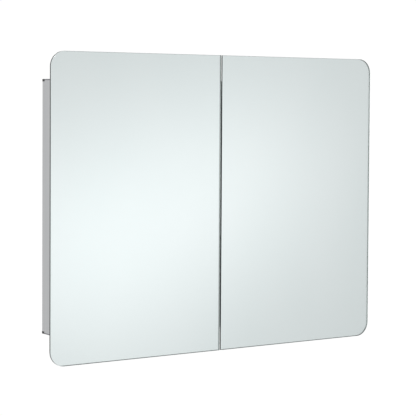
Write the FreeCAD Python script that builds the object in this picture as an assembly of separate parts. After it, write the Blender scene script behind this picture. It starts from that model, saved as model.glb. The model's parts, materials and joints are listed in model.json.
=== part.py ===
import FreeCAD, Part
import os

from FreeCAD import Vector

# Wall-hung medicine cabinet with two frameless mirror doors. Millimetres.
# X runs across, -Y is the front and +Z is up. The origin is on the wall plane,
# at the middle of the cabinet body's back.

# ---- Overall sizes ------------------------------------------------------------
overall_width = 650.0        # across both mirrors
overall_height = 500.0       # of each mirror
overall_depth = 105.0        # wall to the mirrors' front
side_overhang = 40.0         # mirror past the body's side
top_overhang = 43.0          # mirror past the body's top
bottom_overhang = 38.0       # mirror past the body's underside

# ---- Clearances ---------------------------------------------------------------
fit = 0.05                   # between pieces that are pushed together
slot_fit = 0.1               # each side of a sheet or strip in its groove
running_fit = 0.06           # radial, moving knuckle on its pin
knuckle_gap = 0.15           # between neighbouring knuckles
swing_gap = 0.3              # between what turns and what stands still
overshoot = 1.0              # how far a cutting tool runs past what it cuts

# ---- Body profiles ------------------------------------------------------------
wall = 2.0                   # web, lip and flange of the aluminium profiles
lip_height = 14.0            # front lip, from the outer face inwards
rib_height = 8.0             # ribs that hold the back panel
rib_thickness = 1.5
panel_thickness = 3.0
panel_setback = 5.0          # wall plane to the back panel's rear face
panel_edge_gap = 0.7         # back panel's edge to the web
port_width = 7.0             # square boss that takes a frame screw
port_height = 7.0
port_setbacks = (15.5, 63.0)  # wall plane to each port's middle
frame_screw_radius = 1.9
frame_screw_head_radius = 3.7
frame_screw_length = 18.0
outer_edge_radius = 0.8      # long outer edges of the profiles
cap_width = 8.0              # corner cap, along the depth
cap_height = 4.0
cap_spigot = 6.0             # how far the cap reaches between flange and rib

# ---- Wall fixing --------------------------------------------------------------
fixing_inset_x = 55.0        # body's side to the wall screws
fixing_inset_z = 49.5        # body's top or underside to the wall screws
fixing_bore_radius = 3.0
spacer_neck_radius = 5.0
spacer_body_radius = 8.0
spacer_flange_radius = 9.0
spacer_flange_thickness = 1.2

# ---- Shelves ------------------------------------------------------------------
shelf_thickness = 5.0
shelf_end_gap = 1.0          # shelf's end to the clip's back plate
shelf_front_gap = 5.5        # shelf's front edge to the front lip
shelf_rear_gap = 2.5         # shelf's rear edge to the back panel's rib
shelf_corner_radius = 6.0
strip_width = 12.0
strip_thickness = 5.0
strip_setbacks = (27.0, 51.0)  # wall plane to each strip's middle
strip_end_gap = 6.0          # strip's end to the front lip's height
strip_rib_thickness = 1.2
strip_rib_height = 3.0
peg_pitch = 32.0
peg_radius = 2.5
peg_depth = 4.0
clip_width = 10.0
clip_plate_thickness = 2.0
clip_plate_rise = 7.0        # back plate above the peg
clip_plate_drop = 5.0        # back plate below the peg
tongue_length = 14.0
tongue_thickness = 4.0
tongue_rise = 1.0            # tongue's top above the peg's middle
tongue_nose_radius = 1.5
pad_thickness = 1.0
pad_margin = 1.5             # pad's edge to the tongue's edge

# ---- Doors --------------------------------------------------------------------
mirror_thickness = 4.0
mirror_corner_radius = 25.0
mirror_inner_radius = 1.0
mirror_arris = 0.5           # small flat ground on every glass edge
meeting_gap = 2.5            # between the two mirrors
meeting_setback = 1.5        # subframe behind the mirror's inner edge
tape_thickness = 1.0
tape_margin = 2.0            # tape's edge to the subframe's edge
door_frame_depth = 11.0
door_frame_width = 16.0
door_frame_wall = 1.5
inner_mirror_thickness = 3.0
inner_mirror_recess = 0.2    # rear pane below the subframe's rear edge
inner_mirror_gap = 0.5       # rear pane's edge to the subframe's lip
door_gap = 1.5               # subframe to the body's front lip
key_arm = 30.0
key_fit = 0.2

# ---- Catches and buffers ------------------------------------------------------
catch_offset = 50.0          # from the middle of the cabinet
cup_radius = 4.5
cup_flange_radius = 6.0
cup_flange_thickness = 0.6
cup_length = 7.0
magnet_radius = 3.5
magnet_length = 5.0
strike_width = 24.0
strike_height = 11.0
strike_thickness = 0.7
strike_corner_radius = 2.0
buffer_radius = 4.0
buffer_offset = 14.0
buffer_gap = 0.2
buffer_nose_radius = 0.8

# ---- Hinges -------------------------------------------------------------------
hinge_inset = 60.0           # hinge's middle from the body's top or underside
hinge_height = 50.0
knuckle_count = 5
knuckle_radius = 3.2
pin_radius = 1.5
pin_head_radius = 2.6
pin_head_height = 1.2
leaf_thickness = 1.2
body_leaf_width = 21.0
body_leaf_screw_setback = 13.0  # hinge's axis to the body leaf's screws
door_leaf_margin = 0.75      # door leaf's edge to the subframe's front
leaf_screw_radius = 1.4
leaf_screw_head_radius = 2.7
leaf_screw_spacing = 16.0
leaf_screw_recess = 1.3      # depth of the countersink
socket_depth_share = 0.6     # of the countersink
socket_radius_share = 0.62   # of the shank
body_screw_length = 6.5
door_screw_length = 6.0
nut_plate_thickness = 2.5
nut_plate_width = 15.0

# ---- Places worked out from the sizes above -----------------------------------
half_width = overall_width / 2 - side_overhang
half_height = (overall_height - top_overhang - bottom_overhang) / 2
mirror_top = half_height + top_overhang
mirror_bottom = -half_height - bottom_overhang
mirror_front = -overall_depth
mirror_back = mirror_front + mirror_thickness
door_frame_front = mirror_back + tape_thickness
door_frame_back = door_frame_front + door_frame_depth
body_front = door_frame_back + door_gap
lip_back = body_front + wall
panel_back = -panel_setback
panel_front = panel_back - panel_thickness
pane_back = door_frame_back - inner_mirror_recess
pane_front = pane_back - inner_mirror_thickness
lip_middle = lip_height / 2
port_middle = wall + port_height / 2
strip_face = wall + strip_thickness
shelf_end = strip_face + clip_plate_thickness + shelf_end_gap
hinge_x = -half_width - knuckle_radius - swing_gap
hinge_y = (door_frame_back + body_front) / 2
hinge_heights = (hinge_inset - half_height, half_height - hinge_inset)
peg_rows = int((half_height - lip_height - strip_end_gap) / peg_pitch - 0.25)
shelf_peg = peg_pitch * (round(half_height / 3 / peg_pitch - 0.5) + 0.5)


# ---- Building blocks ----------------------------------------------------------
def block(x0, x1, y0, y1, z0, z1):
    """A box between two corners."""
    return Part.makeBox(x1 - x0, y1 - y0, z1 - z0, Vector(x0, y0, z0))


def rod(radius, start, end):
    """A round bar from one point to another."""
    along = Vector(*end) - Vector(*start)
    return Part.makeCylinder(radius, along.Length, Vector(*start), along)


def taper(start_radius, end_radius, start, end):
    along = Vector(*end) - Vector(*start)
    return Part.makeCone(start_radius, end_radius, along.Length, Vector(*start), along)


def join(shapes):
    return shapes[0].fuse(shapes[1:]).removeSplitter() if len(shapes) > 1 else shapes[0]


def flip_x(shape):
    """The same piece on the other hand, left to right."""
    return shape.mirror(Vector(0, 0, 0), Vector(1, 0, 0))


def flip_z(shape):
    """The same piece turned top to bottom."""
    return shape.mirror(Vector(0, 0, 0), Vector(0, 0, 1))


def four_corners(shape):
    """A piece and its copies at the other three corners."""
    upper = [shape, flip_x(shape)]
    return upper + [flip_z(piece) for piece in upper]


def edges_where(shape, test):
    return [edge for edge in shape.Edges if test(edge.BoundBox)]


def countersunk_screw(head, tip, radius, head_radius, recess, clearance=0.0):
    """A countersunk screw, or with a clearance the hole that it needs."""
    along = (Vector(*tip) - Vector(*head)).normalize()
    below = Vector(*head) + along * recess
    shank = rod(radius + clearance, head, tip)
    cone = taper(head_radius + clearance, radius + clearance, head, tuple(below))
    screw = shank.fuse(cone)
    if clearance:
        return screw
    bottom = Vector(*head) + along * (recess * socket_depth_share)
    socket = rod(radius * socket_radius_share, head, tuple(bottom))
    return screw.cut(socket)


# ---- Body ---------------------------------------------------------------------
def back_ribs(section):
    """The rear flange and the two ribs either side of the back panel.
    section(inwards_from, inwards_to, y0, y1) makes one strip of the profile."""
    front_rib = panel_front - slot_fit - rib_thickness
    rear_rib = panel_back + slot_fit
    strips = [section(wall, rib_height, front_rib, front_rib + rib_thickness)]
    strips.append(section(wall, rib_height, rear_rib, rear_rib + rib_thickness))
    strips.append(section(wall, rib_height, -rib_thickness, 0))
    return strips


def corner_notch():
    """The space at the body's upper left rear corner that a cap fills."""
    return block(-half_width, -half_width + wall, -cap_width, 0, half_height - cap_height, half_height)


def frame_screw(x, setback, clearance=0.0):
    head = (x, -setback, half_height)
    tip = (x, -setback, half_height - frame_screw_length)
    recess = frame_screw_head_radius - frame_screw_radius
    return countersunk_screw(head, tip, frame_screw_radius, frame_screw_head_radius, recess, clearance)


def port_places():
    return [(-half_width + port_middle, setback) for setback in port_setbacks]


def cup_hole(clearance=0.0):
    x = -catch_offset
    z = half_height - lip_middle
    return rod(cup_radius + clearance, (x, body_front, z), (x, body_front + cup_length, z))


def top_profile():
    reach = half_width - wall - fit

    def section(inner, outer, y0, y1):
        return block(-reach, reach, y0, y1, half_height - outer, half_height - inner)

    web = block(-half_width, half_width, body_front, 0, half_height - wall, half_height)
    web = web.makeFillet(outer_edge_radius, edges_where(web, lambda box: box.XLength > half_width
                                                        and box.ZMin > half_height - fit))
    profile = join([web, section(wall - fit, lip_height, body_front, lip_back)] + back_ribs(section))
    cuts = [corner_notch(), cup_hole(fit)]
    cuts += [frame_screw(x, setback, fit) for x, setback in port_places()]
    for cut in cuts:
        profile = profile.cut(cut).cut(flip_x(cut))
    return profile


def left_side_profile():
    def section(inner, outer, y0, y1):
        reach = half_height - outer - fit
        return block(-half_width + inner, -half_width + outer, y0, y1, -reach, reach)

    web_reach = half_height - wall
    web = block(-half_width, -half_width + wall, body_front, 0, -web_reach, web_reach)
    web = web.makeFillet(outer_edge_radius, edges_where(web, lambda box: box.ZLength > half_height
                                                        and box.XMax < -half_width + fit))
    parts = [web, section(wall, lip_height, body_front, lip_back)] + back_ribs(section)
    for x, setback in port_places():
        half_port = port_width / 2
        parts.append(block(-half_width + wall, -half_width + wall + port_height,
                           -setback - half_port, -setback + half_port, -web_reach, web_reach))
    strip_reach = strip_half_length()
    for setback in strip_setbacks:
        for side in (-1, 1):
            near = -setback + side * strip_width / 2
            far = near + side * strip_rib_thickness
            parts.append(block(-half_width + wall, -half_width + wall + strip_rib_height,
                               min(near, far), max(near, far), -strip_reach, strip_reach))
    profile = join(parts)
    for x, setback in port_places():
        screw = frame_screw(x, setback, fit)
        profile = profile.cut(screw).cut(flip_z(screw))
    for screw in body_screws(fit):
        profile = profile.cut(screw)
    return profile.cut(corner_notch()).cut(flip_z(corner_notch()))


def back_panel():
    reach_x = half_width - wall - panel_edge_gap
    reach_z = half_height - wall - panel_edge_gap
    panel = block(-reach_x, reach_x, panel_front, panel_back, -reach_z, reach_z)
    for x, z in fixing_places():
        panel = panel.cut(rod(spacer_neck_radius + fit, (x, panel_front, z), (x, panel_back, z)))
    return panel


def fixing_places():
    reach_x = half_width - fixing_inset_x
    reach_z = half_height - fixing_inset_z
    return [(x * reach_x, z * reach_z) for x in (-1, 1) for z in (-1, 1)]


def wall_spacers():
    spacers = []
    flange_front = panel_front - spacer_flange_thickness
    for x, z in fixing_places():
        body = rod(spacer_body_radius, (x, panel_back, z), (x, 0, z))
        neck = rod(spacer_neck_radius, (x, flange_front, z), (x, 0, z))
        flange = rod(spacer_flange_radius, (x, flange_front, z), (x, panel_front, z))
        bore = rod(fixing_bore_radius, (x, flange_front - overshoot, z), (x, overshoot, z))
        spacers.append(join([body, neck, flange]).cut(bore))
    return spacers


def corner_caps():
    z = half_height - wall - fit
    spigot = block(-half_width + wall, -half_width + wall + cap_spigot, panel_back + slot_fit
                   + rib_thickness + fit, -rib_thickness - fit, half_height - cap_height, z)
    left, right = -half_width, -half_width + wall
    face = block(left, right, -cap_width + fit, 0, half_height - cap_height + fit, half_height)
    return four_corners(join([face, spigot]))


def frame_screws():
    screws = []
    for x, setback in port_places():
        screws += four_corners(frame_screw(x, setback))
    return screws


def magnet_cups():
    x = -catch_offset
    z = half_height - lip_middle
    flange_front = body_front - cup_flange_thickness
    cup = cup_hole().fuse(rod(cup_flange_radius, (x, flange_front, z), (x, body_front, z)))
    pocket = rod(magnet_radius + fit, (x, flange_front, z), (x, flange_front + magnet_length, z))
    return four_corners(cup.cut(pocket))


def magnets():
    x = -catch_offset
    z = half_height - lip_middle
    front = body_front - cup_flange_thickness
    magnet = rod(magnet_radius, (x, front, z), (x, front + magnet_length, z))
    return four_corners(magnet)


# ---- Shelves ------------------------------------------------------------------
def strip_half_length():
    return half_height - lip_height - strip_end_gap


def left_shelf_strips():
    strips = []
    for setback in strip_setbacks:
        half_strip = strip_width / 2 - slot_fit
        reach = strip_half_length()
        face = -half_width + strip_face
        strip = block(-half_width + wall, face, -setback - half_strip, -setback + half_strip, -reach, reach)
        for row in range(-peg_rows, peg_rows):
            z = (row + 0.5) * peg_pitch
            hole_bottom = face - peg_depth - slot_fit
            strip = strip.cut(rod(peg_radius + fit, (face, -setback, z), (hole_bottom, -setback, z)))
        strips.append(strip)
    return strips


def shelf_seats():
    """Height of the peg and distance from the wall, for the four clips on the left."""
    return [(z, setback) for z in (-shelf_peg, shelf_peg) for setback in strip_setbacks]


def left_clips():
    clips = []
    face = -half_width + strip_face
    plate = face + clip_plate_thickness
    for z, setback in shelf_seats():
        y0, y1 = -setback - clip_width / 2, -setback + clip_width / 2
        peg = rod(peg_radius, (face - peg_depth, -setback, z), (plate, -setback, z))
        back = block(face, plate, y0, y1, z - clip_plate_drop, z + clip_plate_rise)
        tongue_top = z + tongue_rise
        tongue = block(face, face + tongue_length, y0, y1, tongue_top - tongue_thickness, tongue_top)
        nose = edges_where(tongue, lambda box: box.XMin > face + tongue_length - fit
                           and box.YLength > clip_width / 2)
        tongue = tongue.makeFillet(tongue_nose_radius, nose)
        clips.append(join([peg, back, tongue]))
    return clips


def left_pads():
    pads = []
    face = -half_width + strip_face + clip_plate_thickness
    for z, setback in shelf_seats():
        half_pad = clip_width / 2 - pad_margin
        seat = z + tongue_rise
        pads.append(block(face + pad_margin / 2, face + tongue_length - clip_plate_thickness - pad_margin,
                          -setback - half_pad, -setback + half_pad, seat, seat + pad_thickness))
    return pads


def shelf(z):
    bottom = z + tongue_rise + pad_thickness
    reach = half_width - shelf_end
    front = lip_back + shelf_front_gap
    rear = panel_front - slot_fit - rib_thickness - shelf_rear_gap
    glass = block(-reach, reach, front, rear, bottom, bottom + shelf_thickness)
    return glass.makeFillet(shelf_corner_radius, edges_where(glass, lambda box: box.ZLength > fit
                                                             and box.YMax < front + fit))


# ---- Hinges, left hand --------------------------------------------------------
def knuckles(middle, moving):
    """Heights of the knuckles of one leaf of the hinge at this height."""
    pitch = hinge_height / knuckle_count
    base = middle - hinge_height / 2
    first = 1 if moving else 0
    return [(base + i * pitch, base + (i + 1) * pitch) for i in range(first, knuckle_count, 2)]


def leaf(middle, moving, y0, y1):
    """One leaf with its knuckles: a plate against the cabinet's or the door's side."""
    low, high = middle - hinge_height / 2, middle + hinge_height / 2
    plate = block(-half_width - leaf_thickness, -half_width, y0, y1, low, high)
    for z0, z1 in knuckles(middle, not moving):
        clear = rod(knuckle_radius + swing_gap, (hinge_x, hinge_y, z0 - knuckle_gap),
                    (hinge_x, hinge_y, z1 + knuckle_gap))
        plate = plate.cut(clear)
    barrels = []
    for z0, z1 in knuckles(middle, moving):
        trim = knuckle_gap if moving else 0.0
        barrels.append(rod(knuckle_radius, (hinge_x, hinge_y, z0 + trim), (hinge_x, hinge_y, z1 - trim)))
    whole = join([plate] + barrels)
    bore = pin_radius + (running_fit if moving else fit / 2)
    return whole.cut(rod(bore, (hinge_x, hinge_y, low - overshoot), (hinge_x, hinge_y, high + overshoot)))


def body_leaf_screw_y():
    return hinge_y + body_leaf_screw_setback


def door_leaf_front():
    return door_frame_front + door_leaf_margin


def door_leaf_screw_y():
    swept = ((knuckle_radius + swing_gap) ** 2 - (knuckle_radius + swing_gap - leaf_thickness) ** 2) ** 0.5
    return (door_leaf_front() + hinge_y - swept) / 2


def body_screws(clearance=0.0):
    screws = []
    for middle in hinge_heights:
        for step in (-1, 0, 1):
            z = middle + step * leaf_screw_spacing
            head = (-half_width - leaf_thickness, body_leaf_screw_y(), z)
            tip = (head[0] + body_screw_length, head[1], z)
            screws.append(countersunk_screw(head, tip, leaf_screw_radius, leaf_screw_head_radius,
                                            leaf_screw_recess, clearance))
    return screws


def door_screws(clearance=0.0):
    screws = []
    for middle in hinge_heights:
        for step in (-1, 1):
            z = middle + step * leaf_screw_spacing
            head = (-half_width - leaf_thickness, door_leaf_screw_y(), z)
            tip = (head[0] + door_screw_length, head[1], z)
            screws.append(countersunk_screw(head, tip, leaf_screw_radius, leaf_screw_head_radius,
                                            leaf_screw_recess, clearance))
    return screws


def cut_all(shapes, tools):
    result = []
    for shape in shapes:
        for tool in tools:
            shape = shape.cut(tool)
        result.append(shape)
    return result


def body_leaves():
    leaves = [leaf(middle, False, hinge_y, hinge_y + body_leaf_width) for middle in hinge_heights]
    return cut_all(leaves, body_screws(fit))


def door_leaves():
    leaves = [leaf(middle, True, door_leaf_front(), hinge_y) for middle in hinge_heights]
    return cut_all(leaves, door_screws(fit))


def hinge_pins():
    pins = []
    for middle in hinge_heights:
        low, high = middle - hinge_height / 2, middle + hinge_height / 2
        shank = rod(pin_radius, (hinge_x, hinge_y, low), (hinge_x, hinge_y, high))
        heads = [rod(pin_head_radius, (hinge_x, hinge_y, high), (hinge_x, hinge_y, high + pin_head_height))]
        heads.append(rod(pin_head_radius, (hinge_x, hinge_y, low - pin_head_height), (hinge_x, hinge_y, low)))
        pin = join([shank] + heads)
        rims = edges_where(pin, lambda box: box.ZLength < fit and box.XLength > pin_head_radius
                           and (box.ZMin > high + fit or box.ZMax < low - fit))
        pins.append(pin.makeFillet(pin_head_height / 2, rims))
    return pins


def nut_plates():
    """Tapped plates behind the side profile, which the body leaves' screws bite into."""
    inner = -half_width + wall
    half_plate = nut_plate_width / 2
    y = body_leaf_screw_y()
    reach = leaf_screw_spacing + half_plate
    plates = [block(inner, inner + nut_plate_thickness, y - half_plate, y + half_plate,
                    middle - reach, middle + reach) for middle in hinge_heights]
    return cut_all(plates, body_screws(fit))


# ---- Doors, left hand ---------------------------------------------------------
def door_corner(inset, index):
    """A corner of the subframe's outline, moved inwards: 0 lower hinge side, then on round."""
    xs = (-half_width + inset, -meeting_gap / 2 - meeting_setback - inset)
    zs = (-half_height + inset, half_height - inset)
    return ((xs[0], zs[0]), (xs[0], zs[1]), (xs[1], zs[1]), (xs[1], zs[0]))[index % 4]


def mitred_bar(index, inset0, inset1, y0, y1):
    """One straight wall of the subframe, cut at 45 degrees at both ends."""
    corners = [door_corner(inset0, index), door_corner(inset0, index + 1)]
    corners += [door_corner(inset1, index + 1), door_corner(inset1, index)]
    points = [Vector(x, y0, z) for x, z in corners]
    face = Part.Face(Part.makePolygon(points + points[:1]))
    return face.extrude(Vector(0, y1 - y0, 0))


def frame_bar(index):
    """A hollow bar whose outer wall runs on past it, as a lip round the rear pane."""
    ledge = pane_front - door_frame_wall
    walls = [mitred_bar(index, 0, door_frame_wall, door_frame_front, door_frame_back)]
    walls.append(mitred_bar(index, 0, door_frame_width, door_frame_front, door_frame_front + door_frame_wall))
    walls.append(mitred_bar(index, 0, door_frame_width, ledge, pane_front))
    walls.append(mitred_bar(index, door_frame_width - door_frame_wall, door_frame_width,
                            door_frame_front, pane_front))
    bar = join(walls)
    return cut_all([bar], door_screws(fit))[0] if index == 0 else bar


def corner_keys():
    keys = []
    outer = door_frame_wall + key_fit
    inner = door_frame_width - outer
    y0 = door_frame_front + outer
    y1 = pane_front - outer
    for index in range(4):
        (x, z) = door_corner(outer, index)
        (x_in, z_in) = door_corner(inner, index)
        (x_far, z_far) = door_corner(outer + key_arm, index)
        arm_x = block(min(x, x_far), max(x, x_far), y0, y1, min(z, z_in), max(z, z_in))
        arm_z = block(min(x, x_in), max(x, x_in), y0, y1, min(z, z_far), max(z, z_far))
        keys.append(join([arm_x, arm_z]))
    return keys


def mirror():
    left, right = -half_width - side_overhang, -meeting_gap / 2
    glass = block(left, right, mirror_front, mirror_back, mirror_bottom, mirror_top)
    outer = edges_where(glass, lambda box: box.YLength > fit and box.XMax < left + fit)
    glass = glass.makeFillet(mirror_corner_radius, outer)
    inner = edges_where(glass, lambda box: box.YLength > fit and box.XMin > right - fit)
    glass = glass.makeFillet(mirror_inner_radius, inner)
    rims = edges_where(glass, lambda box: box.YLength < fit)
    return glass.makeChamfer(mirror_arris, rims)


def bond_tape():
    """Four strips of foam tape between the glass and the subframe."""
    x0, z0 = door_corner(tape_margin, 0)
    x1, z1 = door_corner(tape_margin, 2)
    width = door_frame_width - 2 * tape_margin
    y0, y1 = mirror_back, door_frame_front
    strips = [block(x0, x0 + width, y0, y1, z0, z1), block(x1 - width, x1, y0, y1, z0, z1)]
    across = (x0 + width + tape_margin, x1 - width - tape_margin)
    strips.append(block(across[0], across[1], y0, y1, z0, z0 + width))
    strips.append(block(across[0], across[1], y0, y1, z1 - width, z1))
    return strips


def inner_mirror():
    inset = door_frame_wall + inner_mirror_gap
    x0, z0 = door_corner(inset, 0)
    x1, z1 = door_corner(inset, 2)
    pane = block(x0, x1, pane_front, pane_back, z0, z1)
    return pane.makeChamfer(mirror_arris, edges_where(pane, lambda box: box.YMin > pane_back - fit))


def strike_plates():
    z = half_height - lip_middle
    half = strike_width / 2
    plate = block(-catch_offset - half, -catch_offset + half, pane_back, pane_back + strike_thickness,
                  z - strike_height / 2, z + strike_height / 2)
    plate = plate.makeFillet(strike_corner_radius, edges_where(plate, lambda box: box.YLength > fit))
    return [plate, flip_z(plate)]


def buffers():
    z = half_height - lip_middle
    end = body_front - buffer_gap
    dot = rod(buffer_radius, (-buffer_offset, pane_back, z), (-buffer_offset, end, z))
    dot = dot.makeFillet(buffer_nose_radius, edges_where(dot, lambda box: box.YMin > end - fit))
    return [dot, flip_z(dot)]


# ---- Writing ------------------------------------------------------------------
def save(name, pieces):
    shape = pieces[0] if len(pieces) == 1 else Part.makeCompound(pieces)
    shape.exportStep(f"parts/{name}.step")
    solids = len(shape.Solids)
    print(f"{name:24s} {solids:2d} solids {shape.Volume / 1000:9.2f} cm3 valid {shape.isValid()}")


def both_hands(name, pieces):
    save(f"left_{name}", pieces)
    save(f"right_{name}", [flip_x(piece) for piece in pieces])


def main():
    os.makedirs("parts", exist_ok=True)
    top = top_profile()
    save("top_profile", [top])
    save("bottom_profile", [flip_z(top)])
    both_hands("side_profile", [left_side_profile()])
    save("back_panel", [back_panel()])
    save("corner_caps", corner_caps())
    save("frame_screws", frame_screws())
    save("wall_spacers", wall_spacers())
    both_hands("shelf_strips", left_shelf_strips())
    save("shelf_clips", left_clips() + [flip_x(clip) for clip in left_clips()])
    save("shelf_pads", left_pads() + [flip_x(pad) for pad in left_pads()])
    save("lower_shelf", [shelf(-shelf_peg)])
    save("upper_shelf", [shelf(shelf_peg)])
    save("magnet_cups", magnet_cups())
    save("magnets", magnets())
    both_hands("body_leaves", body_leaves())
    both_hands("hinge_pins", hinge_pins())
    both_hands("body_screws", body_screws())
    both_hands("nut_plates", nut_plates())
    both_hands("mirror", [mirror()])
    both_hands("bond_tape", bond_tape())
    for index, name in enumerate(("hinge_stile", "top_rail", "meeting_stile", "bottom_rail")):
        both_hands(name, [frame_bar(index)])
    both_hands("corner_keys", corner_keys())
    both_hands("inner_mirror", [inner_mirror()])
    both_hands("strike_plates", strike_plates())
    both_hands("buffers", buffers())
    both_hands("door_leaves", door_leaves())
    both_hands("door_screws", door_screws())


main()
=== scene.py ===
# %% [markdown]
# # A wall-hung mirror cabinet
# The cabinet is a slim aluminium body with two frameless mirror doors that overhang it on every side.
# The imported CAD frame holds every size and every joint. Here each surface gets its real finish, and the
# pieces whose look depends on fine shape, such as the glass and the screws, are modelled again in place.

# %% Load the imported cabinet
import json
import math

import bmesh
import bpy
from mathutils import Matrix, Vector


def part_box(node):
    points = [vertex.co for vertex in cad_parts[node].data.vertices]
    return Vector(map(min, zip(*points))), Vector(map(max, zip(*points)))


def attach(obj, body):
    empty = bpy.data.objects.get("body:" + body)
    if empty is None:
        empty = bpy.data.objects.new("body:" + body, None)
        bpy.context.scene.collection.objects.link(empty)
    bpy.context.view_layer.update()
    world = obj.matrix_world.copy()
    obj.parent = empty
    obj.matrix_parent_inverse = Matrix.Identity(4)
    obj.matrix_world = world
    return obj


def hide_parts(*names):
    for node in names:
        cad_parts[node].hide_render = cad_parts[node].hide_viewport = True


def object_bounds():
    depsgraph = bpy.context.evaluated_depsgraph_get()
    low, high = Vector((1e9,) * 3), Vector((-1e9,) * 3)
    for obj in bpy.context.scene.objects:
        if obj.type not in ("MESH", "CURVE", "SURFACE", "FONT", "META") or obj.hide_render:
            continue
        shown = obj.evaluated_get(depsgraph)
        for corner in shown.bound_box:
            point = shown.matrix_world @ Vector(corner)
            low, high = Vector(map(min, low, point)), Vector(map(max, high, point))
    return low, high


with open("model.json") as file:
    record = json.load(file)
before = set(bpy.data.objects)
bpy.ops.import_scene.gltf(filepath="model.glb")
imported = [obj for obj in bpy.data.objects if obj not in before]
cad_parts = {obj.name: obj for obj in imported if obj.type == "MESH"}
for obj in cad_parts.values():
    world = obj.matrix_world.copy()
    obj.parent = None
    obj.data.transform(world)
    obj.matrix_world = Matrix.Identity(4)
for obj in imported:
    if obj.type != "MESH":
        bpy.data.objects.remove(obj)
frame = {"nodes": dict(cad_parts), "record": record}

MM = 0.001
X, Y, Z = 0, 1, 2  # places of the axes in a vector
cad_low, cad_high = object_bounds()
print("CAD box in mm:", [round((high - low) / MM, 1) for low, high in zip(cad_low, cad_high)])

# %% [markdown]
# ## Small helpers
# Colours are written as the hex values that a paint chart gives and turned linear by one function. One
# small function adds any shader node with its settings and links, so that each material reads as a recipe.

# %% Colour and node helpers
def linear(code):
    """A linear RGBA colour from an sRGB hex value."""
    channels = [int(code[i:i + 2], 16) / 255 for i in (1, 3, 5)]
    return (*[c / 12.92 if c <= 0.04045 else ((c + 0.055) / 1.055) ** 2.4 for c in channels], 1.0)


def add_node(tree, kind, settings=None, inputs=None):
    """Adds one node. An input's value is a constant or another node's output socket."""
    made = tree.nodes.new(kind)
    for name, value in (settings or {}).items():
        setattr(made, name, value)
    for key, value in (inputs or {}).items():
        if isinstance(value, bpy.types.NodeSocket):
            tree.links.new(value, made.inputs[key])
        else:
            made.inputs[key].default_value = value
    return made


def new_finish(name, constants):
    """A material with a Principled shader and the sockets that are the same all over it."""
    material = bpy.data.materials.new(name)
    material.use_nodes = True
    shader = material.node_tree.nodes["Principled BSDF"]
    for key, value in constants.items():
        shader.inputs[key].default_value = value
    return material, material.node_tree, shader


print("helpers ready")

# %% Pattern helpers: noise stretched along the piece, in millimetres
NOISE_LOW, NOISE_HIGH = 0.3, 0.7  # most of a noise's values lie between these
COLOUR_A, COLOUR_B, COLOUR_OUT = 6, 7, 2  # a Mix node's sockets when it mixes colours


def stretched_noise(tree, sizes_mm, detail=2.0, seed=0.0):
    """Noise whose grain measures these sizes along X, Y and Z. Returns its value socket.

    The seed moves the pattern, so that two noises in one material don't lie on each other.
    """
    place = add_node(tree, "ShaderNodeTexCoord")
    scale = tuple(1 / (size * MM) for size in sizes_mm)
    moved = add_node(tree, "ShaderNodeMapping", None,
                     {"Vector": place.outputs["Object"], "Scale": scale, "Location": (seed,) * 3})
    noise = add_node(tree, "ShaderNodeTexNoise", None,
                     {"Vector": moved.outputs["Vector"], "Scale": 1.0, "Detail": detail})
    return noise.outputs["Fac"]


def spread(tree, value, low, high):
    """Turns noise about its middle into a range between two numbers."""
    placed = add_node(tree, "ShaderNodeMapRange", None,
                      {"Value": value, "From Min": NOISE_LOW, "From Max": NOISE_HIGH,
                       "To Min": low, "To Max": high})
    return placed.outputs["Result"]


def blend_colours(tree, factor, first, second):
    """The first colour where the factor is 0 and the second where it is 1. Returns the colour socket."""
    mix = add_node(tree, "ShaderNodeMix", {"data_type": "RGBA"},
                   {"Factor": factor, COLOUR_A: first, COLOUR_B: second})
    return mix.outputs[COLOUR_OUT]


def bumpy(tree, shader, height, depth_mm, strength):
    """Turns the surface's normal by a height pattern of this depth."""
    bump = add_node(tree, "ShaderNodeBump", None,
                    {"Height": height, "Distance": depth_mm * MM, "Strength": strength})
    tree.links.new(bump.outputs["Normal"], shader.inputs["Normal"])


print("pattern helpers ready")

# %% [markdown]
# ## Anodised aluminium
# The body and the door frames are extruded aluminium, etched and clear anodised. The die leaves faint
# lines along each length, and the etch makes the metal softly matt, so it shows light without a picture.
# Real die lines are about 0.2 mm apart. They are drawn here in bands a few millimetres wide, so that they
# show.

# %% Anodised aluminium, with its lines along one axis
DIE_LINE_MM = 5.0
DIE_RUN_MM = 260.0
ETCH_GRAIN_MM = 0.6
ETCH_ROUGHNESS = (0.36, 0.44)
ETCH_DEPTH_MM = 0.012


def anodised(name, length_axis, tone, darker):
    """Etched and clear anodised extrusion. Returns the material, its tree, shader and colour socket."""
    material, tree, shader = new_finish(name, {"Metallic": 1.0})
    sizes = [DIE_LINE_MM] * 3
    sizes[length_axis] = DIE_RUN_MM
    lines = stretched_noise(tree, sizes, detail=3.0)
    grain = stretched_noise(tree, [ETCH_GRAIN_MM] * 3, detail=1.0, seed=7.0)
    colour = blend_colours(tree, spread(tree, lines, 0.0, 1.0), linear(darker), linear(tone))
    tree.links.new(colour, shader.inputs["Base Color"])
    tree.links.new(spread(tree, lines, *ETCH_ROUGHNESS), shader.inputs["Roughness"])
    height = add_node(tree, "ShaderNodeMath", {"operation": "ADD"}, {0: lines, 1: grain})
    bumpy(tree, shader, height.outputs["Value"], ETCH_DEPTH_MM, strength=0.6)
    return material, tree, shader, colour


upright_aluminium = anodised("anodised_aluminium_upright", Z, "#BCBDBE", "#B4B5B7")[0]
level_aluminium, level_tree, level_shader, level_colour = anodised(
    "anodised_aluminium_level", X, "#BCBDBE", "#B4B5B7")
print("anodised aluminium: bands of", DIE_LINE_MM, "mm")
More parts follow.
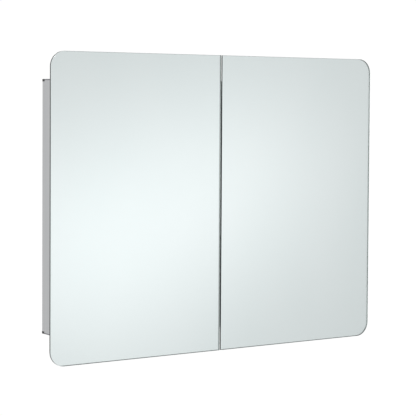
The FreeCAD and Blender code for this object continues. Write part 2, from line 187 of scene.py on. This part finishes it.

# %% [markdown]
# The top and bottom profiles run past the sides, so their saw-cut ends show as a thin line at each corner.
# That line is painted shade, a darker colour with faint saw marks. The ends are found by their place along
# X.

# %% Painted shade on the saw-cut ends of the top and bottom profiles
profile_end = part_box("top_profile")[1].x
SHADED_END_MM = 0.15
SAW_MARKS_MM = (0.5, 0.5, 8.0)
place = add_node(level_tree, "ShaderNodeTexCoord")
axes = add_node(level_tree, "ShaderNodeSeparateXYZ", None, {"Vector": place.outputs["Object"]})
reach = add_node(level_tree, "ShaderNodeMath", {"operation": "ABSOLUTE"}, {0: axes.outputs["X"]})
shaded_end_mask = add_node(level_tree, "ShaderNodeMath", {"operation": "GREATER_THAN"},
                {0: reach.outputs["Value"], 1: profile_end - SHADED_END_MM * MM}).outputs["Value"]
marks = stretched_noise(level_tree, SAW_MARKS_MM, seed=3.0)
# The end faces' darker colour is painted shade, the thin dark line at each corner, with faint saw marks in
# it.
end_shade_colour = blend_colours(level_tree, marks, linear("#7C7C80"), linear("#8E8E92"))
whole_colour = blend_colours(level_tree, shaded_end_mask, level_colour, end_shade_colour)
level_tree.links.new(whole_colour, level_shader.inputs["Base Color"])
print("profile length in mm:", round(2 * profile_end / MM, 1))

# %% [markdown]
# ## Silvered glass
# A bathroom mirror is clear float glass with silver on its back and paint behind the silver. Light goes in
# through the front, off the silver and out again, so the pane is modelled as that: glass on the front and
# the silver on the rear face. The iron in the glass gives the faint green. A ground edge is dark from
# outside, partly because its light comes from the pane's thickness and partly as painted shade, for the
# narrow gap between the doors. From inside the pane it is half a mirror.

# %% Glass, silver, edge and backing paint
GLASS_IOR = 1.52
CLEAR_GLASS = {"Roughness": 0.0, "IOR": GLASS_IOR, "Transmission Weight": 1.0}
FLOAT_WAVE_MM = (180.0, 180.0, 260.0)
GRINDING_MM = (2.0, 1.0, 2.0)
GRINDING_ROUGHNESS = (0.30, 0.45)
INSIDE_ROUGHNESS = 0.02
ORANGE_PEEL_MM = 1.6
PAINT_CLOUD_MM = 70.0
PEEL_DEPTH_MM = 0.03
PAINT_ROUGHNESS = (0.42, 0.52)


def clear_glass():
    """Front of the pane: clean, and as smooth as floating on tin leaves it."""
    return new_finish("float_glass", {"Base Color": linear("#FAFDFC"), **CLEAR_GLASS})[0]


def silvering():
    """Silver deposited on the glass. Slow bands from the float line tint the reflection a little."""
    material, tree, shader = new_finish("silvering", {"Metallic": 1.0, "Roughness": 0.015})
    wave = stretched_noise(tree, FLOAT_WAVE_MM, detail=1.0)
    colour = blend_colours(tree, spread(tree, wave, 0.0, 1.0), linear("#F3F9FA"), linear("#F6FBFC"))
    tree.links.new(colour, shader.inputs["Base Color"])
    return material


def ground_edge():
    """Ground glass edge: dark and hardly glossy outside, while inside it mirrors about half of the light.

    The dark outside is partly painted shade, for the narrow gap between the doors.
    """
    constants = {"IOR": GLASS_IOR, "Specular IOR Level": 0.15}
    material, tree, shader = new_finish("ground_glass_edge", constants)
    marks = stretched_noise(tree, GRINDING_MM, detail=2.0)
    # Outside, the edge is painted near black: partly the dark look of a glass edge, partly painted shade for
    # the narrow gap between the doors.
    outside = blend_colours(tree, spread(tree, marks, 0.0, 1.0), linear("#141917"), linear("#1E2422"))
    inside = add_node(tree, "ShaderNodeNewGeometry").outputs["Backfacing"]
    colour = blend_colours(tree, inside, outside, linear("#C0C5C3"))
    tree.links.new(colour, shader.inputs["Base Color"])
    tree.links.new(inside, shader.inputs["Metallic"])
    grinding = spread(tree, marks, *GRINDING_ROUGHNESS)
    rough = add_node(tree, "ShaderNodeMix", {"data_type": "FLOAT"},
                     {"Factor": inside, "A": grinding, "B": INSIDE_ROUGHNESS})
    tree.links.new(rough.outputs["Result"], shader.inputs["Roughness"])
    return material


def backing_paint():
    """Two coats of grey mirror paint, curtain coated: nearly flat, with a slight orange peel."""
    material, tree, shader = new_finish("mirror_backing_paint", {"IOR": 1.5})
    peel = stretched_noise(tree, [ORANGE_PEEL_MM] * 3, detail=2.0)
    cloud = stretched_noise(tree, [PAINT_CLOUD_MM] * 3, detail=2.0, seed=5.0)
    colour = blend_colours(tree, spread(tree, cloud, 0.0, 1.0), linear("#73797A"), linear("#7C8283"))
    tree.links.new(colour, shader.inputs["Base Color"])
    tree.links.new(spread(tree, peel, *PAINT_ROUGHNESS), shader.inputs["Roughness"])
    bumpy(tree, shader, peel, PEEL_DEPTH_MM, strength=0.5)
    return material


glass, silver, edge, paint = clear_glass(), silvering(), ground_edge(), backing_paint()
print("mirror finishes:", [m.name for m in (glass, silver, edge, paint)])

# %% [markdown]
# ## Plastics, rubber and coatings
# Moulded parts have a fine spark-eroded texture, which scatters light evenly. The back panel is sheet with
# a powder coat, whose grains melt into a soft orange peel about a millimetre across.

# %% Moulded plastics, soft pads and foam
FLOW_MARK_MM = 40.0
MOULD_DEPTH_MM = 0.02
MOULD_ROUGHNESS_RANGE = 0.05


def moulded(name, tone, shade, grain_mm, roughness, constants=None):
    """A surface with a fine even grain. Its colour drifts slowly, as the melt flowed."""
    material, tree, shader = new_finish(name, constants or {})
    grain = stretched_noise(tree, [grain_mm] * 3, detail=2.0)
    flow = stretched_noise(tree, [FLOW_MARK_MM] * 3, detail=1.0, seed=9.0)
    colour = blend_colours(tree, spread(tree, flow, 0.0, 1.0), linear(shade), linear(tone))
    tree.links.new(colour, shader.inputs["Base Color"])
    smoothest, roughest = roughness - MOULD_ROUGHNESS_RANGE, roughness + MOULD_ROUGHNESS_RANGE
    tree.links.new(spread(tree, grain, smoothest, roughest), shader.inputs["Roughness"])
    bumpy(tree, shader, grain, MOULD_DEPTH_MM, strength=0.6)
    return material


black_plastic = moulded("black_polypropylene", "#17181A", "#121314", 0.8, 0.5)
white_plastic = moulded("white_abs", "#E9E9E5", "#E2E2DD", 0.8, 0.42)
clear_plastic = moulded("clear_polycarbonate", "#E3E9EA", "#DCE4E5", 1.2, 0.2,
                        {"Transmission Weight": 0.6, "IOR": 1.58})
soft_rubber = moulded("soft_polyurethane", "#D5DADA", "#CDD3D4", 1.0, 0.45,
                      {"Transmission Weight": 0.3, "IOR": 1.49, "Subsurface Weight": 0.2,
                       "Subsurface Scale": 0.002})
foam = moulded("polyethylene_foam_tape", "#2A2B2D", "#1F2021", 0.9, 0.85)
powder_coat = moulded("powder_coated_sheet", "#DBDEDE", "#D9DCDC", 1.3, 0.5)
print("plastics and coatings ready")

# %% [markdown]
# ## Fittings in steel and zinc
# Hinge leaves and screws are satin stainless steel, magnets and strike plates are nickel plated, and the
# hidden keys and nut plates are zinc plated. Each is a metal with its own warmth and grain.

# %% Metal fittings
STAIN_MM = 9.0
METAL_GRAIN_DEPTH_MM = 0.008


def fitting_metal(name, tone, shade, grain_mm, low, high):
    """A metal whose roughness follows its grain between two values."""
    material, tree, shader = new_finish(name, {"Metallic": 1.0})
    grain = stretched_noise(tree, grain_mm, detail=3.0)
    stain = stretched_noise(tree, [STAIN_MM] * 3, detail=2.0, seed=4.0)
    colour = blend_colours(tree, spread(tree, stain, 0.0, 1.0), linear(shade), linear(tone))
    tree.links.new(colour, shader.inputs["Base Color"])
    tree.links.new(spread(tree, grain, low, high), shader.inputs["Roughness"])
    bumpy(tree, shader, grain, METAL_GRAIN_DEPTH_MM, strength=0.5)
    return material


stainless = fitting_metal("satin_stainless_steel", "#BDBAB4", "#ADAAA4", (0.5, 0.5, 14.0), 0.22, 0.34)
nickel = fitting_metal("bright_nickel_plate", "#C9C4B8", "#BCB7AA", (3.0, 3.0, 3.0), 0.08, 0.16)
zinc = fitting_metal("zinc_plated_steel", "#A9AEB4", "#979CA4", (2.5, 2.5, 2.5), 0.25, 0.4)
print("metal fittings ready")

# %% [markdown]
# ## Finishes on the CAD nodes
# A CAD node whose shape is right keeps it and only gets its finish, by the record's material slot. The
# uprights and the level bars differ, because their die lines run different ways.

# %% Give every CAD node its finish
slot_finish = {
    "anodised": upright_aluminium, "door_aluminium": upright_aluminium, "coated_back": powder_coat,
    "black_plastic": black_plastic, "white_plastic": white_plastic, "clear_plastic": clear_plastic,
    "soft_pads": soft_rubber, "foam_tape": foam, "stainless": stainless, "nickel": nickel, "zinc": zinc,
    "silvered_glass": silver, "shelf_glass": glass,
}
node_slot = {part["node"]: part["material_slot"] for part in frame["record"]["subparts"]}
for node, cad_object in frame["nodes"].items():
    finish = slot_finish[node_slot[node]]
    if node.endswith("rail") or node in ("top_profile", "bottom_profile"):
        finish = level_aluminium
    cad_object.data.materials.clear()
    cad_object.data.materials.append(finish)
print("nodes with a finish:", len(frame["nodes"]))

# %% [markdown]
# ## Eased edges
# Nothing sawn, punched or moulded has a perfectly sharp edge, and the thin highlight along an eased
# edge is what makes metal look solid. A CAD mesh stays as it is, so each piece here is a copy of it. The
# copy's loose triangles are merged and joined into flat faces, and then the sharp edges get a bevel.

# %% Ease the edges of a copied CAD mesh
SHARP_ANGLE = math.radians(28.0)
SHADING_ANGLE = math.radians(20.0)
COPLANAR_ANGLE = math.radians(0.4)
LARGEST_SMOOTH_MM2 = 20.0  # a larger face is a flat side, and stays flat up to its edge
EASED_MM = {"anodised": 0.3, "door_aluminium": 0.3, "coated_back": 0.3, "black_plastic": 0.35,
            "white_plastic": 0.3, "clear_plastic": 0.25, "soft_pads": 0.2, "stainless": 0.15,
            "nickel": 0.15}
bodies = frame["record"]["behaviour"]["bodies"]
node_body = {node: body for body, nodes in bodies.items() for node in nodes}


def merged_copy(node):
    """A watertight bmesh of a CAD node's shape, with the triangles of its flat sides joined."""
    bm = bmesh.new()
    bm.from_mesh(frame["nodes"][node].data)
    bmesh.ops.remove_doubles(bm, verts=bm.verts, dist=MM / 1000)
    bmesh.ops.dissolve_limit(bm, angle_limit=COPLANAR_ANGLE, verts=bm.verts, edges=bm.edges)
    return bm


def ease(bm, width_mm):
    """Rounds every sharp edge by this much."""
    sharp = [e for e in bm.edges if e.is_manifold and e.calc_face_angle() > SHARP_ANGLE]
    bmesh.ops.bevel(bm, geom=sharp, offset=width_mm * MM, offset_type="OFFSET", affect="EDGES",
                    segments=2, profile=0.5, material=-1, clamp_overlap=True)


def finished(bm, name, body, materials, replaced):
    """Turns a bmesh into a piece that rides on a body and stands for CAD nodes."""
    mesh = bpy.data.meshes.new(name)
    bm.to_mesh(mesh)
    bm.free()
    if "custom_normal" in mesh.attributes:
        mesh.attributes.remove(mesh.attributes["custom_normal"])
    # this also makes every face smooth, so the flat sides are set after it
    mesh.set_sharp_from_angle(angle=SHADING_ANGLE)
    smallest_side = LARGEST_SMOOTH_MM2 * MM * MM
    mesh.polygons.foreach_set("use_smooth", [face.area < smallest_side for face in mesh.polygons])
    for material in materials:
        mesh.materials.append(material)
    piece = bpy.data.objects.new(name, mesh)
    bpy.context.scene.collection.objects.link(piece)
    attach(piece, body)
    if replaced:
        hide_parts(*replaced)
    return piece


faces_made = 0
for node, cad_object in frame["nodes"].items():
    slot_name = node_slot[node]
    if slot_name not in EASED_MM or node.endswith("screws"):
        continue
    shape = merged_copy(node)
    ease(shape, EASED_MM[slot_name])
    finish = cad_object.data.materials[:]
    piece = finished(shape, f"{node}_eased", node_body[node], finish, [node])
    faces_made += len(piece.data.polygons)
print("faces on the eased pieces:", faces_made)

# %% [markdown]
# ## Screws
# A screw is only believable with a recess that a driver fits. Each CAD screw is copied, and a cross is cut
# into its head with a Boolean modifier. The cutter is two crossed bars per screw, narrower at their
# lower ends, placed at the wide end of each separate solid.

# %% Find the head of every screw
HEAD_ZONE = 0.25  # share of a screw's length, from each end, in which its head may lie


def separate_solids(bm):
    """The vertices of each separate solid."""
    left, groups = set(bm.verts), []
    while left:
        group, to_visit = set(), [left.pop()]
        while to_visit:
            vert = to_visit.pop()
            group.add(vert)
            near = {e.other_vert(vert) for e in vert.link_edges} & left
            left -= near
            to_visit.extend(near)
        groups.append(group)
    return groups


def head_of(group):
    """Middle of a screw's outer end, the direction out of it, and the head's radius."""
    low = Vector([min(v.co[axis] for v in group) for axis in range(3)])
    high = Vector([max(v.co[axis] for v in group) for axis in range(3)])
    size, middle = high - low, (low + high) / 2
    length_axis = max(range(3), key=lambda axis: min(abs(size[axis] - size[other])
                                                     for other in range(3) if other != axis))
    radius = max(size[axis] for axis in range(3) if axis != length_axis) / 2
    along = Vector([axis == length_axis for axis in range(3)])

    def reach_at(end):
        """How far the screw reaches sideways near one end."""
        zone = size[length_axis] * HEAD_ZONE
        near = [v.co - middle for v in group if abs(v.co[length_axis] - end) < zone]
        return max((offset - offset.project(along)).length for offset in near)

    outer = max((low[length_axis], high[length_axis]), key=reach_at)
    out = along if outer > middle[length_axis] else -along
    middle[length_axis] = outer
    return middle, out, radius


print("head finder ready")

# %% Cut a cross recess into every screw head
RECESS_REACH = 0.56  # this and the next two are shares of the head's radius
RECESS_WIDTH = 0.20
RECESS_DEPTH = 0.36
RECESS_TAPER = 0.6
SCREW_EASE_MM = 0.12


def cross_cutter(heads):
    """Two tapered bars for each head, in one mesh."""
    bm = bmesh.new()
    for centre, out, radius in heads:
        turn = out.to_track_quat("Z", "Y").to_matrix().to_4x4()
        for quarter in (0.0, math.pi / 2):
            bar = bmesh.ops.create_cube(bm, size=1.0)["verts"]
            size = (2 * RECESS_REACH * radius, RECESS_WIDTH * radius, 2 * RECESS_DEPTH * radius)
            bmesh.ops.scale(bm, vec=size, verts=bar)
            tip = [v for v in bar if v.co.z < 0]
            bmesh.ops.scale(bm, vec=(RECESS_TAPER, RECESS_TAPER, 1.0), verts=tip)
            seat = Matrix.Translation(centre) @ turn @ Matrix.Rotation(quarter, 4, "Z")
            bmesh.ops.transform(bm, matrix=seat, verts=bar)
    mesh = bpy.data.meshes.new("cross_cutter")
    bm.to_mesh(mesh)
    bm.free()
    return bpy.data.objects.new("cross_cutter", mesh)


def recessed_screws(node):
    """The screws of one node, eased and with a recess cut into each head."""
    shape = merged_copy(node)
    heads = [head_of(group) for group in separate_solids(shape)]
    ease(shape, SCREW_EASE_MM)
    blank_mesh = bpy.data.meshes.new("screw_blanks")
    shape.to_mesh(blank_mesh)
    shape.free()
    blank, cutter = bpy.data.objects.new("screw_blanks", blank_mesh), cross_cutter(heads)
    for helper in (blank, cutter):
        bpy.context.scene.collection.objects.link(helper)
    cut = blank.modifiers.new("recess", "BOOLEAN")
    cut.operation = "DIFFERENCE"
    cut.solver = "EXACT"
    cut.object = cutter
    cut.use_self = True  # the two bars of a cross overlap
    graph = bpy.context.evaluated_depsgraph_get()
    result = bmesh.new()
    result.from_mesh(blank.evaluated_get(graph).to_mesh())
    for helper in (blank, cutter):
        bpy.data.objects.remove(helper)
    finish = frame["nodes"][node].data.materials[:]
    return finished(result, f"{node}_recessed", node_body[node], finish, [node])


for node in [name for name in frame["nodes"] if name.endswith("screws")]:
    screws = recessed_screws(node)
    print(screws.name, "faces", len(screws.data.polygons))

# %% [markdown]
# ## Panes of glass
# Every pane is the same kind of thing: a flat slab whose corners are cut round, whose edges are ground flat
# and then broken with a small bevel, the arris. A cube scaled to the node's box keeps it in place. The edge
# bevel operator rounds the corners first and then cuts the arris, so the arris follows the round corners.

# %% Build a slab with round corners and an arris
CORNER_STEPS = 20
SAME_PLACE = MM / 100


def slab(low, high, thin_axis, radii, arris_mm):
    """A slab between two corners. radii maps (sign, sign) of a corner to its radius in mm."""
    bm = bmesh.new()
    size, middle = high - low, (low + high) / 2
    bmesh.ops.create_cube(bm, size=1.0)
    bmesh.ops.scale(bm, vec=size, verts=bm.verts)
    bmesh.ops.translate(bm, vec=middle, verts=bm.verts)
    wide = [axis for axis in range(3) if axis != thin_axis]

    def rise(edge):
        """How far an edge goes through the slab's thickness."""
        return abs((edge.verts[0].co - edge.verts[1].co)[thin_axis])

    for signs, radius in radii.items():
        place = {axis: middle[axis] + sign * size[axis] / 2 for axis, sign in zip(wide, signs)}
        corner = [e for e in bm.edges if rise(e) > size[thin_axis] / 2
                  and all(abs(e.verts[0].co[axis] - place[axis]) < SAME_PLACE for axis in wide)]
        bmesh.ops.bevel(bm, geom=corner, offset=radius * MM, offset_type="OFFSET", affect="EDGES",
                        segments=CORNER_STEPS, profile=0.5, material=-1)
    rim = [e for e in bm.edges if rise(e) < SAME_PLACE]
    bmesh.ops.bevel(bm, geom=rim, offset=arris_mm * MM, offset_type="OFFSET", affect="EDGES",
                    segments=1, profile=0.5, material=-1)
    return bm


print("slab builder ready")

# %% [markdown]
# The front panes have large round outer corners and nearly square inner ones, where the doors meet. The
# silver lies on the rear face, and a thin coat of paint covers it. The paint stops a little short of the
# edge, because the glass is painted in large sheets, cut, and then ground. The coat is a slab of its own, a
# hair behind the silver, because two surfaces in one plane would show as dark patches.

# %% The two front mirrors
MIRROR_CORNER_MM = 25.0
MEETING_CORNER_MM = 1.0
ARRIS_MM = 0.5
PAINT_MM = 0.12
PAINT_ARRIS_MM = 0.03
PAINT_MARGIN_MM = 0.6
PAINT_GAP_MM = 0.02
FRONT, REAR, EDGE = 0, 1, 2  # a pane's material slots
SQUARE_ON = 0.99             # a face turned at least this much towards a side is that side's
EDGE_ON = 0.1                # a face turned less than this towards a side is square to it


def front_mirror(hand, side):
    """One front pane and the paint on its rear. The front arris counts as glass, the rear one as edge."""
    node = f"{hand}_mirror"
    low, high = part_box(node)
    radii = {(side, 1): MIRROR_CORNER_MM, (side, -1): MIRROR_CORNER_MM,
             (-side, 1): MEETING_CORNER_MM, (-side, -1): MEETING_CORNER_MM}
    silver_plane = Vector((high.x, high.y - PAINT_MM * MM, high.z))
    pane = slab(low, silver_plane, Y, radii, ARRIS_MM)
    for face in pane.faces:
        facing = face.normal.y
        face.material_index = REAR if facing > SQUARE_ON else EDGE if facing > -EDGE_ON else FRONT
    pane = finished(pane, f"{hand}_mirror_glass", f"{hand}_door",
                    (glass, silver, edge), [node])
    inset = PAINT_MARGIN_MM * MM
    paint_low = Vector((low.x + inset, silver_plane.y + PAINT_GAP_MM * MM, low.z + inset))
    paint_high = Vector((high.x - inset, high.y, high.z - inset))
    smaller = {corner: radius - PAINT_MARGIN_MM for corner, radius in radii.items()}
    coat = slab(paint_low, paint_high, Y, smaller, PAINT_ARRIS_MM)
    finished(coat, f"{hand}_mirror_backing", f"{hand}_door", (paint,), [])
    return pane


for hand, side in (("left", -1), ("right", 1)):
    pane = front_mirror(hand, side)
    print(pane.name, "faces", len(pane.data.polygons))

# %% [markdown]
# The rear panes of the doors show when a door is open. They face the other way, so their silver is on the
# face towards the front glass.

# %% The two inner mirrors
def inner_mirror(hand):
    """One inner pane, with all its corners nearly square."""
    node = f"{hand}_inner_mirror"
    low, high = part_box(node)
    corners = {(x, z): MEETING_CORNER_MM for x in (-1, 1) for z in (-1, 1)}
    pane = slab(low, high, Y, corners, ARRIS_MM)
    for face in pane.faces:
        facing = face.normal.y
        face.material_index = REAR if facing < -SQUARE_ON else EDGE if abs(facing) < EDGE_ON else FRONT
    return finished(pane, f"{hand}_inner_mirror_glass", f"{hand}_door",
                    (glass, silver, edge), [node])


for hand in ("left", "right"):
    print(inner_mirror(hand).name)

# %% [markdown]
# ## Glass shelves
# Shelf glass is 5 mm float with all edges polished and the front corners rounded. From above it is clear.
# From the front one looks along the sheet, through much more glass, so the edge is strongly green.

# %% Shelves
SHELF_CORNER_MM = 6.0
POLISHING_MM = (3.0, 1.0, 1.0)
POLISHED_ROUGHNESS = (0.06, 0.14)
SHEET, RIM = 0, 1  # a shelf's material slots


def shelf_edge():
    """Polished glass edge: green, because light reaches it along the sheet."""
    constants = {"IOR": GLASS_IOR, "Transmission Weight": 0.35}
    material, tree, shader = new_finish("shelf_glass_edge", constants)
    marks = stretched_noise(tree, POLISHING_MM, detail=2.0)
    colour = blend_colours(tree, spread(tree, marks, 0.0, 1.0), linear("#5E9484"), linear("#78AC9C"))
    tree.links.new(colour, shader.inputs["Base Color"])
    tree.links.new(spread(tree, marks, *POLISHED_ROUGHNESS), shader.inputs["Roughness"])
    return material


shelf_clear = new_finish("shelf_glass_clear", {"Base Color": linear("#EAF5F1"), **CLEAR_GLASS})[0]
shelf_green = shelf_edge()
for node in ("lower_shelf", "upper_shelf"):
    low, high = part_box(node)
    sheet = slab(low, high, Z, {(-1, -1): SHELF_CORNER_MM, (1, -1): SHELF_CORNER_MM}, ARRIS_MM)
    for face in sheet.faces:
        face.material_index = SHEET if abs(face.normal.z) > SQUARE_ON else RIM
    finished(sheet, f"{node}_glass", "cabinet", (shelf_clear, shelf_green), [node])
    print(node, "at", round(low.z / MM, 1), "mm")

# %% [markdown]
# ## Studio
# The cabinet hangs in a white studio: white behind, softer light in front, and a few soft glows that the
# mirrors and the metal pick up. The world gives all of that by direction, so nothing stands near the
# mirrors. What the camera sees directly is plain white.

# %% Light by direction
FRONT_LEVEL = 0.686
BACK_LEVEL = 0.97
OVERHEAD_LEVEL = 0.72
BACKDROP_LEVEL = 1.02
FRONT_TO_BACK = (-0.3, 0.5)      # of a direction's Y, over which the front level becomes the back level
LEVEL_TO_OVERHEAD = (0.25, 0.9)  # of a direction's Z, over which the light fades towards overhead
GLOWS = {  # azimuth, elevation and spread in degrees, then strength
    "main glow": (29.4, -5.4, 3.86, 0.311),
    "second glow": (35.3, -2.5, 3.3, 0.188),
    "front glow": (-3.0, -3.0, 6.0, 0.24),
    "left key": (-50.0, 4.0, 16.0, 0.6),
    "left glow": (-33.0, -2.5, 4.0, 0.15),
    "right fill": (76.0, 0.0, 12.0, 0.35),
}


def compass(azimuth, elevation):
    """A direction seen from the cabinet. Azimuth 0 is straight out of the front, and 90 is +X."""
    a, e = math.radians(azimuth), math.radians(elevation)
    return Vector((math.sin(a) * math.cos(e), -math.cos(a) * math.cos(e), math.sin(e)))


world = bpy.data.worlds.new("white_studio")
bpy.context.scene.world = world
world.use_nodes = True
sky = world.node_tree
sky.nodes.clear()
ray = add_node(sky, "ShaderNodeTexCoord").outputs["Generated"]
parts = add_node(sky, "ShaderNodeSeparateXYZ", None, {"Vector": ray})
rearwards = add_node(sky, "ShaderNodeMapRange", {"interpolation_type": "SMOOTHSTEP"},
                     {"Value": parts.outputs["Y"], "From Min": FRONT_TO_BACK[0],
                      "From Max": FRONT_TO_BACK[1], "To Min": FRONT_LEVEL, "To Max": BACK_LEVEL})
overhead = add_node(sky, "ShaderNodeMapRange", {"interpolation_type": "SMOOTHSTEP"},
                    {"Value": parts.outputs["Z"], "From Min": LEVEL_TO_OVERHEAD[0],
                     "From Max": LEVEL_TO_OVERHEAD[1], "To Min": 1.0, "To Max": OVERHEAD_LEVEL})
light = add_node(sky, "ShaderNodeMath", {"operation": "MULTIPLY"},
                 {0: rearwards.outputs["Result"], 1: overhead.outputs["Result"]}).outputs["Value"]
for azimuth, elevation, width, strength in GLOWS.values():
    towards = add_node(sky, "ShaderNodeVectorMath", {"operation": "DOT_PRODUCT"},
                       {0: ray, 1: compass(azimuth, elevation)})
    sharpness = 1 / math.radians(width) ** 2
    fall = add_node(sky, "ShaderNodeMath", {"operation": "MULTIPLY_ADD"},
                    {0: towards.outputs["Value"], 1: sharpness, 2: -sharpness})
    glow = add_node(sky, "ShaderNodeMath", {"operation": "EXPONENT"}, {0: fall.outputs["Value"]})
    light = add_node(sky, "ShaderNodeMath", {"operation": "MULTIPLY_ADD"},
                     {0: glow.outputs["Value"], 1: strength, 2: light}).outputs["Value"]
seen = add_node(sky, "ShaderNodeLightPath").outputs["Is Camera Ray"]
shown = add_node(sky, "ShaderNodeMix", {"data_type": "FLOAT"},
                 {"Factor": seen, "A": light, "B": BACKDROP_LEVEL})
background = add_node(sky, "ShaderNodeBackground", None,
                      {"Color": (1.0, 1.0, 1.0, 1.0), "Strength": shown.outputs["Result"]})
add_node(sky, "ShaderNodeOutputWorld", None, {"Surface": background.outputs["Background"]})
bpy.context.scene.view_settings.view_transform = "Standard"
print("glows:", list(GLOWS))

# %% [markdown]
# The floor is far below, because the cabinet hangs on a wall. It is pale and fades out at its rim, so it
# has no edge against the white. One soft lamp from the upper left gives the shapes some direction.

# %% Floor and lamp
FLOOR_DROP = 0.62
FLOOR_RADIUS = 2.3
FLOOR_STEPS = 96
FADE_FROM = 0.9
bm = bmesh.new()
bmesh.ops.create_circle(bm, cap_ends=True, segments=FLOOR_STEPS, radius=FLOOR_RADIUS)
bmesh.ops.translate(bm, vec=(0, 0, cad_low.z - FLOOR_DROP), verts=bm.verts)
floor_mesh = bpy.data.meshes.new("floor")
bm.to_mesh(floor_mesh)
bm.free()
floor = bpy.data.objects.new("floor", floor_mesh)
bpy.context.scene.collection.objects.link(floor)
floor_constants = {"Base Color": linear("#E4E6E6"), "Roughness": 0.7}
floor_material, tree, shader = new_finish("pale_studio_floor", floor_constants)
place = add_node(tree, "ShaderNodeTexCoord").outputs["Object"]
flat = add_node(tree, "ShaderNodeVectorMath", {"operation": "MULTIPLY"}, {0: place, 1: (1, 1, 0)})
radius = add_node(tree, "ShaderNodeVectorMath", {"operation": "LENGTH"}, {0: flat.outputs["Vector"]})
fade = add_node(tree, "ShaderNodeMapRange", {"interpolation_type": "SMOOTHSTEP"},
                {"Value": radius.outputs["Value"], "From Min": FADE_FROM, "From Max": FLOOR_RADIUS,
                 "To Min": 1.0, "To Max": 0.0})
tree.links.new(fade.outputs["Result"], shader.inputs["Alpha"])
floor_mesh.materials.append(floor_material)

LAMP_AZIMUTH = -75.0
LAMP_ELEVATION = 58.0
LAMP_DISTANCE = 2.6
LAMP_SIZE = 1.4
LAMP_WATTS = 30.0
lamp_data = bpy.data.lights.new("soft_lamp", "AREA")
lamp_data.shape = "DISK"
lamp_data.size = LAMP_SIZE
lamp_data.energy = LAMP_WATTS
lamp = bpy.data.objects.new("soft_lamp", lamp_data)
lamp.location = compass(LAMP_AZIMUTH, LAMP_ELEVATION) * LAMP_DISTANCE
lamp.rotation_mode = "QUATERNION"
lamp.rotation_quaternion = (-lamp.location).to_track_quat("-Z", "Y")
bpy.context.scene.collection.objects.link(lamp)
print("floor at", round(cad_low.z - FLOOR_DROP, 3), "m")

# %% [markdown]
# ## Camera
# The view is from the front left, a little above the middle, with a long lens from about two and a half
# metres, so the verticals stay nearly parallel. A small shift frames the cabinet without more tilt.

# %% Camera
CAMERA_PLACE = Vector((-1.4351, -2.1934, 0.1669))
HEADING = math.radians(33.99)
TILT = math.radians(2.29)
ROLL = math.radians(0.34)
SENSOR_WIDTH_MM = 36.0
LENS_MM = 129.83
SHIFT_ACROSS = -0.0006
SHIFT_UP = -0.101
camera_data = bpy.data.cameras.new("camera")
camera_data.sensor_width = SENSOR_WIDTH_MM
camera_data.lens = LENS_MM
camera_data.shift_x = SHIFT_ACROSS
camera_data.shift_y = SHIFT_UP
camera = bpy.data.objects.new("camera", camera_data)
turn = (Matrix.Rotation(-HEADING, 4, "Z") @ Matrix.Rotation(math.pi / 2 - TILT, 4, "X")
        @ Matrix.Rotation(ROLL, 4, "Z"))
camera.matrix_world = Matrix.Translation(CAMERA_PLACE) @ turn
bpy.context.scene.collection.objects.link(camera)
bpy.context.scene.camera = camera
print("camera looks along", [round(c, 3) for c in turn @ Vector((0, 0, -1))])
